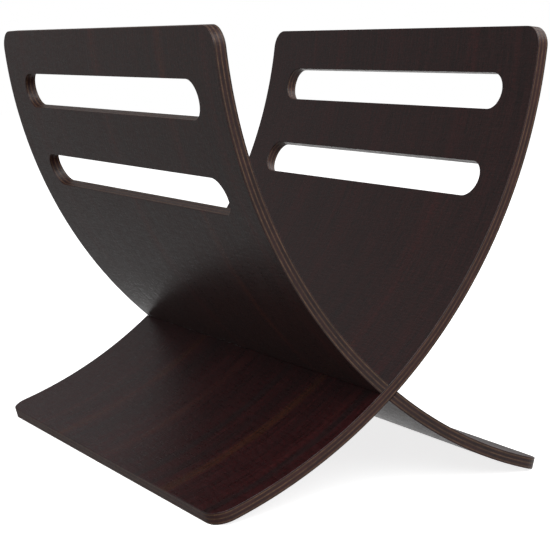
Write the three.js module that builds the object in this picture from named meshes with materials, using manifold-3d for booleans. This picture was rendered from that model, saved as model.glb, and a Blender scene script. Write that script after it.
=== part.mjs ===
// A magazine rack made of two identical bent plywood panels that slide into each other
// and cross like an X. Millimetres. +Z is up, Y runs along the width of the panels, and
// the floor is z = 0. The left panel leans up to the left (-X) and stands on the right;
// the right panel is the same piece turned half a turn about Z.

import * as THREE from 'three';
import { mergeVertices } from 'three/addons/utils/BufferGeometryUtils.js';
import Module from 'manifold-3d';

// Panel: a strip of plywood bent to one circular arc, hollow side up.
const panelWidth = 380;
const bendRadius = 370; // of the hollow face
const footAngle = 15.2; // degrees from straight below the arc's centre to the foot edge
const topAngle = 85.05; // and to the top edge
const arcCentreOffset = 238.6; // from the middle of the rack to the arc's centre
const cornerRadius = 15;

// Lay-up: thin dark faces, then pale and dark veneers by turns.
const faceVeneer = 0.8;
const paleVeneer = 1.1;
const darkVeneer = 1.9;
const glueLine = 0.05;

// Hand holds: two round-ended slots across the upper part of each panel.
const holdLength = 312;
const holdHeight = 28;
const upperHoldFromTop = 49; // from the top edge to the slot's centre line
const holdPitch = 69;

// Halving joint, and the narrow flat that each foot stands on.
const jointClearance = 0.3;
const footFlatDepth = 0.6;

// Fineness of the facets, and how far a cutter reaches past what it cuts.
const arcSegments = 24;
const curveSegments = 3;
const overshoot = 4;

const layUp = [
  { name: 'outer_face_veneer', thickness: faceVeneer, tone: 'face' },
  { name: 'outer_pale_veneer', thickness: paleVeneer, tone: 'pale' },
  { name: 'outer_dark_veneer', thickness: darkVeneer, tone: 'dark' },
  { name: 'middle_pale_veneer', thickness: paleVeneer, tone: 'pale' },
  { name: 'inner_dark_veneer', thickness: darkVeneer, tone: 'dark' },
  { name: 'inner_pale_veneer', thickness: paleVeneer, tone: 'pale' },
  { name: 'inner_face_veneer', thickness: faceVeneer, tone: 'face' },
];

const veneerTotal = layUp.reduce((sum, veneer) => sum + veneer.thickness, 0);
const panelThickness = veneerTotal + glueLine * (layUp.length - 1);
const middleRadius = bendRadius + panelThickness / 2;
const panelLength = middleRadius * THREE.MathUtils.degToRad(topAngle - footAngle);
const outerRadius = bendRadius + panelThickness;
const arcCentreHeight = outerRadius * Math.cos(THREE.MathUtils.degToRad(footAngle)) - footFlatDepth;

const materials = {
  face: new THREE.MeshStandardMaterial({ color: 0x352b29, roughness: 0.42, metalness: 0 }),
  dark: new THREE.MeshStandardMaterial({ color: 0x3b2c2a, roughness: 0.55, metalness: 0 }),
  pale: new THREE.MeshStandardMaterial({ color: 0x5a4334, roughness: 0.6, metalness: 0 }),
};

const wasm = await Module();
wasm.setup();

// A panel is drawn flat and then bent. Flat, x runs across the width, y down from the top
// edge, and z out from the middle of the thickness towards the bulging side.
function bend(geometry) {
  const position = geometry.getAttribute('position');
  for (let i = 0; i < position.count; i += 1) {
    const angle = THREE.MathUtils.degToRad(topAngle) - position.getY(i) / middleRadius;
    const radius = middleRadius + position.getZ(i);
    const across = position.getX(i);
    position.setXYZ(
      i,
      arcCentreOffset - radius * Math.sin(angle),
      across,
      arcCentreHeight - radius * Math.cos(angle),
    );
  }
  return geometry;
}

function toSolid(geometry) {
  const bare = geometry.clone();
  bare.deleteAttribute('normal');
  bare.deleteAttribute('uv');
  const merged = mergeVertices(bare, 1e-4);
  return new wasm.Manifold(new wasm.Mesh({
    numProp: 3,
    vertProperties: new Float32Array(merged.getAttribute('position').array),
    triVerts: new Uint32Array(merged.getIndex().array),
  }));
}

function toGeometry(solid) {
  const mesh = solid.getMesh();
  const geometry = new THREE.BufferGeometry();
  geometry.setAttribute('position', new THREE.BufferAttribute(mesh.vertProperties, 3));
  geometry.setIndex(new THREE.BufferAttribute(mesh.triVerts, 1));
  geometry.computeVertexNormals();
  return geometry;
}

// A full-length strip between two widths and two depths, still flat.
function strip(widthFrom, widthTo, depthFrom, depthTo) {
  const width = widthTo - widthFrom;
  const depth = depthTo - depthFrom;
  const geometry = new THREE.BoxGeometry(width, panelLength, depth, 1, arcSegments, 1);
  return geometry.translate(widthFrom + width / 2, panelLength / 2, depthFrom + depth / 2);
}

// A flat outline pushed through the whole thickness.
function punch(shape) {
  const depth = panelThickness + 2 * overshoot;
  const geometry = new THREE.ExtrudeGeometry(shape, { depth, bevelEnabled: false, curveSegments });
  return geometry.translate(0, 0, -depth / 2);
}

function handHold(fromTop) {
  const radius = holdHeight / 2;
  const reach = holdLength / 2 - radius;
  const shape = new THREE.Shape();
  shape.absarc(reach, fromTop, radius, -Math.PI / 2, Math.PI / 2, false);
  shape.absarc(-reach, fromTop, radius, Math.PI / 2, (3 * Math.PI) / 2, false);
  return toSolid(bend(punch(shape)));
}

// What a rounded corner takes away; sideways and lengthways are +1 or -1.
function cornerWaste(sideways, lengthways) {
  const centreX = sideways * (panelWidth / 2 - cornerRadius);
  const centreY = lengthways > 0 ? panelLength - cornerRadius : cornerRadius;
  const farX = sideways * (cornerRadius + overshoot);
  const farY = lengthways * (cornerRadius + overshoot);
  const shape = new THREE.Shape();
  shape.moveTo(centreX + farX, centreY);
  shape.lineTo(centreX + farX, centreY + farY);
  shape.lineTo(centreX, centreY + farY);
  const start = lengthways * (Math.PI / 2);
  const end = sideways > 0 ? 0 : lengthways * Math.PI;
  shape.absarc(centreX, centreY, cornerRadius, start, end, sideways * lengthways > 0);
  return toSolid(bend(punch(shape)));
}

// The slot that lets the other panel in: that panel's own strip, thicker by the clearance,
// from this panel's near edge (-Y) to just past the middle.
function crossSlot() {
  const half = panelThickness / 2 + jointClearance;
  const slotStrip = strip(-jointClearance / 2, panelWidth / 2 + overshoot, -half, half);
  return toSolid(bend(slotStrip).rotateZ(Math.PI));
}

function floorWaste() {
  const depth = footFlatDepth + overshoot;
  const geometry = new THREE.BoxGeometry(4 * outerRadius, 2 * panelWidth, depth);
  return toSolid(geometry.translate(0, 0, -depth / 2));
}

const waste = [
  handHold(upperHoldFromTop),
  handHold(upperHoldFromTop + holdPitch),
  cornerWaste(1, 1),
  cornerWaste(1, -1),
  cornerWaste(-1, 1),
  cornerWaste(-1, -1),
  crossSlot(),
  floorWaste(),
].reduce((all, solid) => all.add(solid));

function panel(side) {
  const group = new THREE.Group();
  let depthTo = panelThickness / 2;
  for (const veneer of layUp) {
    const depthFrom = depthTo - veneer.thickness;
    const sheet = strip(-panelWidth / 2, panelWidth / 2, depthFrom, depthTo);
    const geometry = toGeometry(toSolid(bend(sheet)).subtract(waste));
    const mesh = new THREE.Mesh(geometry, materials[veneer.tone]);
    mesh.name = `${side}_panel_${veneer.name}`;
    group.add(mesh);
    depthTo = depthFrom - glueLine;
  }
  return group;
}

const leftPanel = panel('left');
const rightPanel = panel('right');
rightPanel.rotation.z = Math.PI;

const magazineRack = new THREE.Group();
magazineRack.add(leftPanel, rightPanel);

export default magazineRack;
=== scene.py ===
import math

import bpy
import numpy as np
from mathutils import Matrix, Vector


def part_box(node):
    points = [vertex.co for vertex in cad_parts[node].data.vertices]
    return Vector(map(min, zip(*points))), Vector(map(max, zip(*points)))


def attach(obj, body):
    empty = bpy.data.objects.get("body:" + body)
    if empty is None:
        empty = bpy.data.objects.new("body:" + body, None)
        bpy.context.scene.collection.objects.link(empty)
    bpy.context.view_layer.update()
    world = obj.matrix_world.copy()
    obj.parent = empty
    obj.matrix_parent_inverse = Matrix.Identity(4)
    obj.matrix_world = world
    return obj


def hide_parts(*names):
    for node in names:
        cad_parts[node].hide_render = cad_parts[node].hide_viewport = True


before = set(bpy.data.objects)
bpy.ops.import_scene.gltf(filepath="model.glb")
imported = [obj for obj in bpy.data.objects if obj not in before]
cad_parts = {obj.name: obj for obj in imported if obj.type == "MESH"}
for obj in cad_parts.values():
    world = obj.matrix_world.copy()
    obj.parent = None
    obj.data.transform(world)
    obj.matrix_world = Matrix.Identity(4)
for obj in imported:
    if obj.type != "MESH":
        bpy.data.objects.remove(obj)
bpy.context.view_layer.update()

# The rack is two bent plywood panels, crossed. Each panel is seven veneers, and each veneer is
# one piece. A panel is drawn flat first: across its width, down from its top edge, and out from
# the middle of its thickness towards the bulging side. Then it is bent. Metres.

panelSizes = {
    "bendRadius": 0.370,  # of the hollow face
    "footAngle": 15.2,  # degrees from straight below the bend's centre
    "topAngle": 85.05,
    "centreOffset": 0.2386,  # of the bend's centre from the middle of the rack
    "corner": 0.015,
    "slotPlay": 0.0003,  # between the panels in the halving joint
    "slotEndPlay": 0.00004,  # where the two slots' ends meet
    "footFlat": 0.0006,  # depth of the flat that the foot stands on
    "arris": 0.0004,  # radius of the eased edges
}

veneers = [  # from the bulging side in
    {"name": "OuterFaceVeneer", "node": "outer_face_veneer", "thickness": 0.0008, "slot": "face_veneer"},
    {"name": "OuterPaleVeneer", "node": "outer_pale_veneer", "thickness": 0.0011, "slot": "pale_veneer"},
    {"name": "OuterDarkVeneer", "node": "outer_dark_veneer", "thickness": 0.0019, "slot": "dark_veneer"},
    {"name": "MiddlePaleVeneer", "node": "middle_pale_veneer", "thickness": 0.0011, "slot": "pale_veneer"},
    {"name": "InnerDarkVeneer", "node": "inner_dark_veneer", "thickness": 0.0019, "slot": "dark_veneer"},
    {"name": "InnerPaleVeneer", "node": "inner_pale_veneer", "thickness": 0.0011, "slot": "pale_veneer"},
    {"name": "InnerFaceVeneer", "node": "inner_face_veneer", "thickness": 0.0008, "slot": "face_veneer"},
]
glueLine = 0.00005

handHolds = {
    "length": 0.312,
    "height": 0.028,
    "fromTop": 0.049,  # of the upper one's centre line
    "pitch": 0.069,
}

meshSteps = {
    "holdStraight": 14,
    "holdEnd": 12,
    "side": 5,
    "cornerArc": 12,
    "rowLength": 0.0045,
    "arrisArc": 4,
    "edgeRow": 0.0011,  # the first row in from an edge
    "sharpAngle": 40,  # degrees between faces past which their edge is not shaded smooth
}
grainShift = {"veneer": 1.3, "side": 0.7}  # so that no two veneers are cut from the same spot

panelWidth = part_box("left_panel_outer_face_veneer")[1].y * 2
panelThickness = sum(v["thickness"] for v in veneers) + glueLine * (len(veneers) - 1)
middleRadius = panelSizes["bendRadius"] + panelThickness / 2
topAngle = math.radians(panelSizes["topAngle"])
panelLength = middleRadius * (topAngle - math.radians(panelSizes["footAngle"]))
outerRadius = panelSizes["bendRadius"] + panelThickness
centreHeight = outerRadius * math.cos(math.radians(panelSizes["footAngle"])) - panelSizes["footFlat"]


def columns(inset):
    # Where the columns of the flat sheet stand across it, how far each hand hold opens above and
    # below its centre line there, and how far the sheet's ends are drawn in. An inset moves every
    # edge inwards. The hold's end is (radius + inset) times sine and cosine, and the corner is
    # (corner - inset) times sine and cosine, so the points are even around both arcs.
    radius = handHolds["height"] / 2
    straight = handHolds["length"] / 2 - radius
    cornerStart = panelWidth / 2 - panelSizes["corner"]
    holdTurn = np.linspace(0, math.pi / 2, meshSteps["holdEnd"] + 1)[1:]
    cornerTurn = np.linspace(0, math.pi / 2, meshSteps["cornerArc"] + 1)[1:]
    sideStart = straight + radius + inset + meshSteps["edgeRow"]
    flatPart = np.linspace(0, straight, meshSteps["holdStraight"] + 1)
    sidePart = np.linspace(sideStart, cornerStart, meshSteps["side"] + 1)
    across = np.concatenate([
        flatPart,
        straight + (radius + inset) * np.sin(holdTurn),
        sidePart,
        cornerStart + (panelSizes["corner"] - inset) * np.sin(cornerTurn),
    ])
    opening = np.concatenate([
        np.full(len(flatPart), radius + inset),
        (radius + inset) * np.cos(holdTurn),
        np.zeros(len(sidePart) + len(cornerTurn)),
    ])
    drawnIn = np.concatenate([
        np.full(len(flatPart) + len(holdTurn) + len(sidePart), inset),
        panelSizes["corner"] - (panelSizes["corner"] - inset) * np.cos(cornerTurn),
    ])
    across = np.concatenate([-across[:0:-1], across])
    across[len(across) // 2] = panelSizes["slotEndPlay"] / 2
    opening = np.concatenate([opening[:0:-1], opening])
    drawnIn = np.concatenate([drawnIn[:0:-1], drawnIn])
    return across, opening, drawnIn


def crossing(depth, otherDepth):
    # How far down the flat sheet, at this depth, the other panel's surface at otherDepth crosses.
    # Both arcs' centres are level and 2c apart, so the angle from straight down is the arcsine of
    # (4cc + RR - SS) / 4cR, with R and S the two radii.
    apart = 2 * panelSizes["centreOffset"]
    here = middleRadius + depth
    there = middleRadius + otherDepth
    angle = math.asin((apart**2 + here**2 - there**2) / (2 * apart * here))
    return (topAngle - angle) * middleRadius


def rowShares(length):
    # Shares of a band's length at which its rows stand: even, with one more close to each edge.
    even = np.linspace(0, 1, max(3, round(length / meshSteps["rowLength"])) + 1)
    near = meshSteps["edgeRow"] / length
    return np.concatenate([[0, near], even[1:-1], [1 - near, 1]])


upperHold = handHolds["fromTop"]
lowerHold = upperHold + handHolds["pitch"]
halfHold = handHolds["height"] / 2
slotHalf = panelThickness / 2 + panelSizes["slotPlay"]
bands = [
    rowShares(upperHold - halfHold),
    rowShares(handHolds["pitch"] - 2 * halfHold),
    rowShares(crossing(0, -slotHalf) - lowerHold - halfHold),
    rowShares(panelLength - crossing(0, slotHalf)),
]


def flatSheet(depth, inset):
    # One surface of the flat panel as rows and columns. The rows lie in four bands: top edge to
    # upper hold, between the holds, lower hold to the cross slot, and cross slot to foot. In each
    # band a row is start + share * (end - start), worked out for every column at once.
    across, opening, drawnIn = columns(inset)
    level = np.zeros_like(across)
    spans = [
        (drawnIn, upperHold - opening),
        (upperHold + opening, lowerHold - opening),
        (lowerHold + opening, level + crossing(depth, -slotHalf)),
        (level + crossing(depth, slotHalf), panelLength - drawnIn),
    ]
    down = np.concatenate([
        start + shares[:, None] * (end - start) for shares, (start, end) in zip(bands, spans)
    ])
    flat = np.empty(down.shape + (3,))
    flat[..., 0] = across
    flat[..., 1] = down
    flat[..., 2] = depth
    return flat.reshape(-1, 3)


def sheetQuads():
    # The sheet's quads, as indices into flatSheet. Beyond the ends of a hold the two bands share
    # their row, and from the middle of the panel on the cross slot is filled with solid wood.
    across, opening, _ = columns(0)
    index = np.arange(sum(len(shares) for shares in bands) * len(across)).reshape(-1, len(across))
    ends = np.cumsum([len(shares) for shares in bands])
    closed = opening < 1e-6
    for end in ends[:2]:
        index[end, closed] = index[end - 1, closed]
    rowStarts = np.setdiff1d(np.arange(len(index) - 1), ends[:-1] - 1)
    strips = [(row, 0) for row in rowStarts] + [(ends[2] - 1, len(across) // 2)]
    return np.concatenate([
        np.stack([
            index[row, first:-1], index[row, first + 1:],
            index[row + 1, first + 1:], index[row + 1, first:-1],
        ], axis=1)
        for row, first in strips
    ])


def rimEdges(quads):
    # Directed edges that only one quad uses: the sheet's outline and the outlines of its openings.
    starts = quads.reshape(-1)
    stops = np.roll(quads, -1, axis=1).reshape(-1)
    size = quads.max() + 1
    alone = ~np.isin(starts * size + stops, stops * size + starts)
    return starts[alone], stops[alone]


def bend(flat):
    # Wraps the flat panel round the bend: the angle from straight down is the top angle less the
    # distance down over the middle radius, and the radius is the middle radius plus the depth.
    # Whatever would reach below the floor is pressed up to it, which makes the foot's flat.
    angle = topAngle - flat[:, 1] / middleRadius
    radius = middleRadius + flat[:, 2]
    return np.stack([
        panelSizes["centreOffset"] - radius * np.sin(angle),
        flat[:, 0],
        np.maximum(centreHeight - radius * np.cos(angle), 0),
    ], axis=1)


def arrisLayers(surface, inwards):
    # Depths and insets of the eased edge of a face: a quarter circle from the face to the edge.
    turn = np.linspace(0, math.pi / 2, meshSteps["arrisArc"] + 1)
    radius = panelSizes["arris"]
    depths = surface + inwards * radius * (1 - np.cos(turn))
    return list(zip(depths, radius * (1 - np.sin(turn))))


def veneerLayers(number):
    # Depth and inset of each layer of points from a veneer's outer side to its inner side. The
    # veneers meet in the middle of their glue lines.
    above = sum(v["thickness"] + glueLine for v in veneers[:number])
    outer = panelThickness / 2 - above + (glueLine / 2 if number else 0)
    inner = panelThickness / 2 - above - veneers[number]["thickness"] - glueLine / 2
    if number == 0:
        return arrisLayers(outer, -1) + [(inner, 0)]
    if number == len(veneers) - 1:
        return [(outer, 0)] + arrisLayers(-panelThickness / 2, 1)[::-1]
    return [(outer, 0), (inner, 0)]


quads = sheetQuads()
usedPoints, quads = np.unique(quads, return_inverse=True)
quads = quads.reshape(-1, 4)
rimStart, rimStop = rimEdges(quads)
rimPoints = np.unique(rimStart)


def veneerBody(name, number, side, material):
    # A closed veneer: its outer sheet, its inner sheet turned over, and walls between the layers'
    # rims. side is +1 for the left panel, and -1 for the right one, turned half a turn.
    layers = veneerLayers(number)
    sheets = [flatSheet(depth, inset)[usedPoints] for depth, inset in layers]
    flat = np.concatenate([sheets[0]] + [s[rimPoints] for s in sheets[1:-1]] + [sheets[-1]])
    count = len(usedPoints)
    places = [np.arange(count)]
    for step in range(1, len(layers) - 1):
        place = np.zeros(count, dtype=int)
        place[rimPoints] = count + (step - 1) * len(rimPoints) + np.arange(len(rimPoints))
        places.append(place)
    places.append(np.arange(len(flat) - count, len(flat)))
    walls = [
        np.stack([high[rimStart], low[rimStart], low[rimStop], high[rimStop]], axis=1)
        for high, low in zip(places, places[1:])
    ]
    faces = np.concatenate([quads, places[-1][quads[:, ::-1]]] + walls)
    points = bend(flat) * [side, side, 1]
    mesh = bpy.data.meshes.new(name)
    mesh.from_pydata(points, [], faces)
    mesh.update()
    mesh.polygons.foreach_set("use_smooth", np.ones(len(faces), dtype=bool))
    mesh.set_sharp_from_angle(angle=math.radians(meshSteps["sharpAngle"]))
    grainPlace = mesh.attributes.new("grainPlace", "FLOAT_VECTOR", "POINT")
    shift = [0, grainShift["veneer"] * number + grainShift["side"] * side, 0]
    grainPlace.data.foreach_set("vector", (flat + shift).astype(np.float32).reshape(-1))
    depth = flat[:, 2]
    values = {
        "edgeWear": np.zeros(len(flat)),
        "plyDepth": (depth.max() - depth) / np.ptp(depth),
        "downShare": flat[:, 1] / panelLength,
    }
    for place in places:
        values["edgeWear"][place[rimPoints]] = 1
    for key, value in values.items():
        mesh.attributes.new(key, "FLOAT", "POINT").data.foreach_set("value", value.astype(np.float32))
    mesh.materials.append(material)
    piece = bpy.data.objects.new(name, mesh)
    bpy.context.scene.collection.objects.link(piece)
    return piece


def addNode(tree, kind, inputs=None, **settings):
    node = tree.nodes.new(kind)
    for key, value in settings.items():
        setattr(node, key, value)
    for key, value in (inputs or {}).items():
        if isinstance(value, bpy.types.NodeSocket):
            tree.links.new(value, node.inputs[key])
        else:
            node.inputs[key].default_value = value
    return node


def newGroup(name, inputs, outputs):
    tree = bpy.data.node_groups.new(name, "ShaderNodeTree")
    for inOut, sockets in (("INPUT", inputs), ("OUTPUT", outputs)):
        for key, kind in sockets:
            tree.interface.new_socket(key, in_out=inOut, socket_type=kind)
    start = tree.nodes.new("NodeGroupInput")
    end = tree.nodes.new("NodeGroupOutput")
    return tree, start.outputs, end.inputs


def mathNode(tree, operation, first, second=0.0, third=0.0):
    node = addNode(tree, "ShaderNodeMath", {0: first, 1: second, 2: third}, operation=operation)
    return node.outputs[0]


def ramp(tree, value, low, high):
    return addNode(tree, "ShaderNodeMapRange", {
        "Value": value, "From Min": low, "From Max": high, "To Min": 0.0, "To Max": 1.0,
    }, interpolation_type="SMOOTHSTEP").outputs[0]


grainNoise = {  # cells in a metre (across, down and through the panel), detail and roughness
    "sway": ((12, 5, 0), 1.0, 0.55),
    "ragged": ((420, 30, 0), 2.0, 0.55),
    "bands": ((80, 1.5, 4), 4.0, 0.6),
    "strength": ((15, 9, 7), 2.0, 0.55),
    "fibres": ((900, 22, 300), 2.0, 0.7),
    "pores": ((1300, 150, 900), 1.0, 0.55),
    "sanding": ((100, 680, 300), 3.0, 0.7),
    "mottle": ((430, 430, 430), 2.0, 0.6),
}
grainLimits = {  # from where to where in its noise each mark grows from nothing to full
    "fibres": (0.30, 0.70),
    "pores": (0.58, 0.70),
    "sanding": (0.32, 0.68),
    "mottle": (0.30, 0.70),
}
grainWander = {"sway": 0.007, "ragged": 0.006}  # metres that the grain strays sideways, in all


def grainMark(tree, place, name):
    # Noise whose cells are stretched: the place is multiplied by a scale for each direction.
    cells, detail, roughness = grainNoise[name]
    scaled = addNode(tree, "ShaderNodeVectorMath", {0: place, 1: cells}, operation="MULTIPLY")
    noise = addNode(tree, "ShaderNodeTexNoise", {
        "Vector": scaled.outputs[0], "Scale": 1.0, "Detail": detail, "Roughness": roughness,
    }).outputs["Fac"]
    return ramp(tree, noise, *grainLimits[name]) if name in grainLimits else noise


def makeGrainGroup():
    # Straight-grained stained veneer: slow bands and fibres along the grain, short pores, the
    # fine lines that sanding leaves across it, and the mottle of a thin satin lacquer.
    marks = ("Across", "Bands", "Strength", "Fibres", "Pores", "Sanding", "Mottle")
    tree, given, wanted = newGroup(
        "stainedGrain",
        [("Place", "NodeSocketVector")],
        [(mark, "NodeSocketFloat") for mark in marks],
    )
    place = given["Place"]
    shift = 0.0
    for name, whole in grainWander.items():
        stray = mathNode(tree, "MULTIPLY_ADD", grainMark(tree, place, name), whole, -whole / 2)
        shift = mathNode(tree, "ADD", stray, shift)
    offset = addNode(tree, "ShaderNodeCombineXYZ", {"X": shift}).outputs[0]
    strayed = addNode(tree, "ShaderNodeVectorMath", {0: place, 1: offset}, operation="ADD").outputs[0]
    across = addNode(tree, "ShaderNodeSeparateXYZ", {0: strayed}).outputs["X"]
    tree.links.new(across, wanted["Across"])
    for mark in marks[1:]:
        along = strayed if mark in ("Bands", "Fibres") else place
        tree.links.new(grainMark(tree, along, mark.lower()), wanted[mark])
    return tree


grainGroup = makeGrainGroup()

# A streak is a band along the grain: millimetres across from the middle, half its width, and how
# much lighter and redder (up to 1) or darker (down to -1) it is than the wood round it.
streaks = {
    "left": [
        (-174, 8, 0.45), (-160, 6, -0.35), (-108, 9, 0.75), (-84, 7, -0.15), (4, 12, 0.55),
        (-18, 10, -0.20), (60, 14, -0.15), (98, 10, 0.30), (146, 14, 0.32),
    ],
    "right": [
        (-116, 8, 0.30), (-98, 8, -0.20), (-75, 12, 0.50), (-46, 22, -0.35), (-15, 6, 0.25),
        (7, 13, 0.38), (40, 14, -0.15), (69, 7, -0.60), (79, 6, 0.22), (93, 9, -0.35),
        (115, 14, 0.62), (129, 5, 0.25), (140, 8, -0.20), (166, 6, 0.30), (176, 6, -0.90),
    ],
}

streakStrength = {
    "left": (1.1, 1.0),  # at the top edge and at the foot
    "right": (0.65, 1.7),
    "change": (0.50, 0.75),  # shares of the panel's length between which one turns to the other
    "patches": (0.5, 1.3),  # where a streak is faint and where it is strong
    "patchNoise": (0.20, 0.62),  # the noise at those places
}

colourLevels = {
    "gain": 2.0,  # from a streak's level to a full change of colour
    "amber": (0.24, 0.56),  # the levels between which a light streak turns amber
    "worn": (0.25, 0.60),  # the noise between which an edge turns worn
}

marksInRoughness = {"Fibres": 0.08, "Sanding": 0.10, "Mottle": -0.06}
marksInHeight = {"Sanding": 1.0, "Mottle": 0.45, "Fibres": 0.9, "Pores": -0.5}
bumpHeight = 0.00012

veneerLooks = {
    "face_veneer": {
        "left": {
            "dark": (0.0135, 0.0044, 0.0036),
            "plain": (0.0188, 0.0048, 0.0037),
            "foot": (0.0200, 0.0022, 0.0018),
            "light": (0.0310, 0.0048, 0.0040),
            "amber": (0.0350, 0.0082, 0.0036),
        },
        "right": {
            "dark": (0.0122, 0.0030, 0.0034),
            "plain": (0.0183, 0.0044, 0.0042),
            "foot": (0.0195, 0.0012, 0.0018),
            "light": (0.0310, 0.0040, 0.0042),
            "amber": (0.0330, 0.0070, 0.0022),
        },
        "bands": 0.22, "fibres": 0.34, "pores": 0.22, "sanding": 0.16, "mottle": 0.30,
        "roughness": 0.34, "specular": 0.50, "bump": 0.40, "wear": 0.25,
    },
    "dark_veneer": {
        "left": {
            "dark": (0.0160, 0.0070, 0.0058),
            "plain": (0.0190, 0.0078, 0.0070),
            "soaked": (0.0410, 0.0096, 0.0086),
            "light": (0.0320, 0.0115, 0.0090),
            "amber": (0.0380, 0.0130, 0.0090),
        },
        "right": {
            # The right panel's dark plies are stained a little redder than the left's. Their brighter
            # colours are also painted light: a lit copy of the same plies, standing in for light on that
            # panel's edges.
            "dark": (0.0200, 0.0076, 0.0062),
            "plain": (0.0270, 0.0084, 0.0072),
            "soaked": (0.0520, 0.0100, 0.0090),
            "light": (0.0440, 0.0130, 0.0100),
            "amber": (0.0480, 0.0160, 0.0100),
        },
        "soak": (0.20, 0.48), "bands": 0.40, "fibres": 0.30, "pores": 0.30, "sanding": 0.10, "mottle": 0.15,
        "roughness": 0.38, "specular": 0.42, "bump": 0.35, "wear": 0.0,
    },
    "pale_veneer": {
        "left": {
            "dark": (0.0400, 0.0190, 0.0120),
            "plain": (0.0720, 0.0420, 0.0230),
            "soaked": (0.0340, 0.0090, 0.0080),
            "light": (0.1150, 0.0720, 0.0320),
            "amber": (0.1250, 0.0820, 0.0330),
        },
        "right": {
            # The right panel's pale plies are stained a little redder than the left's. Their brighter
            # colours are also painted light: a lit copy of the same plies, standing in for light on that
            # panel's edges.
            "dark": (0.0440, 0.0190, 0.0120),
            "plain": (0.0780, 0.0440, 0.0230),
            "soaked": (0.0420, 0.0098, 0.0084),
            "light": (0.1300, 0.0820, 0.0340),
            "amber": (0.1400, 0.0930, 0.0340),
        },
        "soak": (0.24, 0.42), "bands": 0.80, "fibres": 0.30, "pores": 0.20, "sanding": 0.10, "mottle": 0.20,
        "roughness": 0.40, "specular": 0.42, "bump": 0.35, "wear": 0.0,
    },
}


def mixColours(tree, share, first, second):
    node = addNode(tree, "ShaderNodeMix", data_type="RGBA")
    tree.links.new(share, node.inputs[0])
    for socket, colour in ((node.inputs[6], first), (node.inputs[7], second)):
        if isinstance(colour, bpy.types.NodeSocket):
            tree.links.new(colour, socket)
        else:
            socket.default_value = (*colour, 1)
    return node.outputs[2]


def streakRamp(tree, across, rows):
    # Each streak is one stop of a colour ramp at its middle, between two black ones at its edges.
    share = mathNode(tree, "MULTIPLY_ADD", across, 1 / panelWidth, 0.5)
    node = addNode(tree, "ShaderNodeValToRGB", {0: share})
    stops = []
    for middle, half, strength in rows:
        stops += [(middle - half, 0), (middle, strength), (middle + half, 0)]
    elements = node.color_ramp.elements
    node.color_ramp.interpolation = "EASE"
    while len(elements) < len(stops):
        elements.new(1.0)
    for element, (spot, level) in zip(elements, sorted(stops)):
        element.position = 0.5 + spot / 1000 / panelWidth
        element.color = (level, level, level, 1)
    return node.outputs["Color"]


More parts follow.
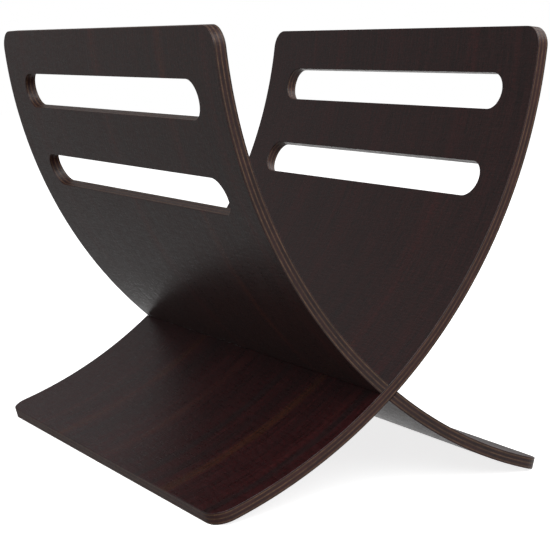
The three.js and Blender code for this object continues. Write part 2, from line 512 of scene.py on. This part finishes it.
def veneerMaterial(slot, look, side):
    material = bpy.data.materials.new(f"{side}_{slot}")
    material.use_nodes = True
    tree = material.node_tree
    shader = tree.nodes["Principled BSDF"]
    place = addNode(tree, "ShaderNodeAttribute", attribute_name="grainPlace").outputs["Vector"]
    grain = addNode(tree, "ShaderNodeGroup", node_tree=grainGroup)
    tree.links.new(place, grain.inputs["Place"])
    colours = look[side]

    level = mathNode(tree, "MULTIPLY_ADD", grain.outputs["Bands"], look["bands"], -look["bands"] / 2)
    plain = colours["plain"]
    if slot == "face_veneer":
        lightRows = [row for row in streaks[side] if row[-1] > 0]
        darkRows = [(middle, half, -amount) for middle, half, amount in streaks[side] if amount < 0]
        lighten = streakRamp(tree, grain.outputs["Across"], lightRows)
        darken = streakRamp(tree, grain.outputs["Across"], darkRows)
        streak = mathNode(tree, "MULTIPLY", mathNode(tree, "SUBTRACT", lighten, darken), 0.5)
        downShare = addNode(tree, "ShaderNodeAttribute", attribute_name="downShare").outputs["Fac"]
        towardsFoot = ramp(tree, downShare, *streakStrength["change"])
        plain = mixColours(tree, towardsFoot, plain, colours["foot"])
        atTop, atFoot = streakStrength[side]
        strength = mathNode(tree, "MULTIPLY_ADD", towardsFoot, atFoot - atTop, atTop)
        faintest, strongest = streakStrength["patches"]
        patches = ramp(tree, grain.outputs["Strength"], *streakStrength["patchNoise"])
        patches = mathNode(tree, "MULTIPLY_ADD", patches, strongest - faintest, faintest)
        strength = mathNode(tree, "MULTIPLY", patches, strength)
        level = mathNode(tree, "ADD", level, mathNode(tree, "MULTIPLY", streak, strength))
    gain = colourLevels["gain"]
    lighter = addNode(tree, "ShaderNodeClamp", {0: mathNode(tree, "MULTIPLY", level, gain)}).outputs[0]
    darker = addNode(tree, "ShaderNodeClamp", {0: mathNode(tree, "MULTIPLY", level, -gain)}).outputs[0]
    base = mixColours(tree, lighter, plain, colours["light"])
    base = mixColours(tree, darker, base, colours["dark"])
    base = mixColours(tree, ramp(tree, level, *colourLevels["amber"]), base, colours["amber"])
    if "soak" in look:
        # The stain has soaked in redder from the glue lines, and only a pale ply's middle is pale.
        depth = addNode(tree, "ShaderNodeAttribute", attribute_name="plyDepth").outputs["Fac"]
        fromMiddle = mathNode(tree, "ABSOLUTE", mathNode(tree, "SUBTRACT", depth, 0.5))
        base = mixColours(tree, ramp(tree, fromMiddle, *look["soak"]), base, colours["soaked"])
    tone = mathNode(tree, "MULTIPLY_ADD", grain.outputs["Pores"], -look["pores"], 1.0)
    for mark in ("Fibres", "Sanding", "Mottle"):
        amount = look[mark.lower()]
        share = mathNode(tree, "MULTIPLY_ADD", grain.outputs[mark], 2 * amount, 1 - amount)
        tone = mathNode(tree, "MULTIPLY", tone, share)
    worn = addNode(tree, "ShaderNodeAttribute", attribute_name="edgeWear").outputs["Fac"]
    worn = mathNode(tree, "MULTIPLY", worn, grain.outputs["Strength"])
    worn = ramp(tree, worn, *colourLevels["worn"])
    tone = mathNode(tree, "MULTIPLY", tone, mathNode(tree, "MULTIPLY_ADD", worn, look["wear"], 1.0))
    toned = addNode(tree, "ShaderNodeVectorMath", {0: base}, operation="SCALE")
    tree.links.new(tone, toned.inputs["Scale"])
    tree.links.new(toned.outputs[0], shader.inputs["Base Color"])
    rough = look["roughness"] - sum(marksInRoughness.values()) / 2
    for mark, weight in marksInRoughness.items():
        rough = mathNode(tree, "MULTIPLY_ADD", grain.outputs[mark], weight, rough)
    tree.links.new(rough, shader.inputs["Roughness"])
    shader.inputs["Specular IOR Level"].default_value = look["specular"]
    height = 0.0
    for mark, weight in marksInHeight.items():
        height = mathNode(tree, "MULTIPLY_ADD", grain.outputs[mark], weight, height)
    bump = addNode(tree, "ShaderNodeBump", {
        "Strength": look["bump"], "Distance": bumpHeight, "Height": height,
    })
    tree.links.new(bump.outputs[0], shader.inputs["Normal"])
    return material


materials = {
    (side, slot): veneerMaterial(slot, look, side) for slot, look in veneerLooks.items() for side in streaks
}
print("materials: made", len(materials))

for sideName, side in (("left", 1), ("right", -1)):
    for number, veneer in enumerate(veneers):
        piece = veneerBody(sideName + veneer["name"], number, side, materials[sideName, veneer["slot"]])
        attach(piece, f"{sideName}_panel")
        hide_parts(f"{sideName}_panel_{veneer['node']}")
    print(sideName, "panel: laid up from", len(veneers), "veneers")

floorLook = {"size": 12.0, "colour": (0.86, 0.86, 0.86), "roughness": 0.9, "glow": 0.80}

softLights = {  # radiance is of the light's white cloth
    "frontSoftbox": {"azimuth": 250, "height": 47, "distance": 2.3, "size": (2.3, 1.8), "radiance": 2.3},
    "overheadSoftbox": {"azimuth": 200, "height": 68, "distance": 2.0, "size": (1.5, 1.5), "radiance": 1.2},
    "sideCard": {"azimuth": 165, "height": 4, "distance": 2.4, "size": (1.5, 1.0), "radiance": 0.9},
    "rightCard": {"azimuth": 8, "height": 32, "distance": 2.5, "size": (1.9, 1.5), "radiance": 1.3},
    "rightSoftbox": {"azimuth": 326, "height": 50, "distance": 2.5, "size": (1.6, 1.3), "radiance": 1.4},
    "backCard": {"azimuth": 62, "height": -13.5, "distance": 2.6, "size": (1.3, 0.8), "radiance": 0.95},
}

surround = {  # radiance of the room's walls
    "seen": 1.0,
    "dim": 0.25,
    "front": {"azimuth": 270, "height": 20, "radiance": 0.32, "spread": 1.0},
    "right": {"azimuth": 5, "height": -30, "radiance": 0.50, "spread": 3.0},
}

cameraSetup = {
    "place": (-0.6039, -1.0665, 0.3176),
    "turnRight": 30.26,
    "tiltDown": 8.40,
    "roll": 0.21,
    "lens": 100.56,
    "sensorWidth": 36,
    "farthest": 100,
}


def direction(azimuth, height):
    turn, rise = math.radians(azimuth), math.radians(height)
    return (math.cos(rise) * math.cos(turn), math.cos(rise) * math.sin(turn), math.sin(rise))


def makeFloor():
    # A white sweep that the camera sees evenly lit. It casts nothing back on the wood.
    half = floorLook["size"] / 2
    mesh = bpy.data.meshes.new("floor")
    corners = [(-half, -half, 0), (half, -half, 0), (half, half, 0), (-half, half, 0)]
    mesh.from_pydata(corners, [], [(0, 1, 2, 3)])
    material = bpy.data.materials.new("paleFloor")
    material.use_nodes = True
    shader = material.node_tree.nodes["Principled BSDF"]
    shader.inputs["Base Color"].default_value = (*floorLook["colour"], 1)
    shader.inputs["Roughness"].default_value = floorLook["roughness"]
    shader.inputs["Emission Color"].default_value = (1, 1, 1, 1)
    shader.inputs["Emission Strength"].default_value = floorLook["glow"]
    mesh.materials.append(material)
    floor = bpy.data.objects.new("floor", mesh)
    bpy.context.scene.collection.objects.link(floor)
    floor.visible_glossy = False
    floor.visible_diffuse = False
    floor.visible_shadow = False


def makeLight(name, settings):
    data = bpy.data.lights.new(name, "AREA")
    data.shape = "RECTANGLE"
    data.size, data.size_y = settings["size"]
    data.energy = settings["radiance"] * math.pi * data.size * data.size_y
    lamp = bpy.data.objects.new(name, data)
    bpy.context.scene.collection.objects.link(lamp)
    lamp.visible_camera = False
    away = direction(settings["azimuth"], settings["height"])
    lamp.location = [settings["distance"] * part for part in away]
    lamp.rotation_euler = (math.radians(90 - settings["height"]), 0, math.radians(settings["azimuth"] + 90))


def makeSurround():
    # The room: dim behind the rack, lighter in front and to the right by the cosine of the angle
    # to a power, and plain white where the camera sees it.
    world = bpy.data.worlds.new("studio")
    bpy.context.scene.world = world
    world.use_nodes = True
    tree = world.node_tree
    background = tree.nodes["Background"]
    background.inputs["Color"].default_value = (1, 1, 1, 1)
    view = addNode(tree, "ShaderNodeTexCoord").outputs["Generated"]
    light = surround["dim"]
    for wall in (surround["front"], surround["right"]):
        towards = direction(wall["azimuth"], wall["height"])
        share = addNode(tree, "ShaderNodeVectorMath", {0: view, 1: towards}, operation="DOT_PRODUCT")
        share = mathNode(tree, "MAXIMUM", share.outputs["Value"], 0.0)
        share = mathNode(tree, "POWER", share, wall["spread"])
        light = mathNode(tree, "MULTIPLY_ADD", share, wall["radiance"], light)
    rays = addNode(tree, "ShaderNodeLightPath")
    strength = addNode(tree, "ShaderNodeMapRange", {
        "Value": rays.outputs["Is Camera Ray"], "To Min": light, "To Max": surround["seen"],
    })
    tree.links.new(strength.outputs[0], background.inputs["Strength"])


def makeCamera():
    data = bpy.data.cameras.new("camera")
    data.lens = cameraSetup["lens"]
    data.sensor_width = cameraSetup["sensorWidth"]
    data.clip_end = cameraSetup["farthest"]
    camera = bpy.data.objects.new("camera", data)
    bpy.context.scene.collection.objects.link(camera)
    camera.location = cameraSetup["place"]
    camera.rotation_euler = (
        math.radians(90 - cameraSetup["tiltDown"]),
        math.radians(cameraSetup["roll"]),
        math.radians(-cameraSetup["turnRight"]),
    )
    bpy.context.scene.camera = camera


makeFloor()
for lightName, lightSettings in softLights.items():
    makeLight(lightName, lightSettings)
makeSurround()
makeCamera()
bpy.context.scene.view_settings.view_transform = "Standard"
print("studio: floor,", len(softLights), "lights and camera")
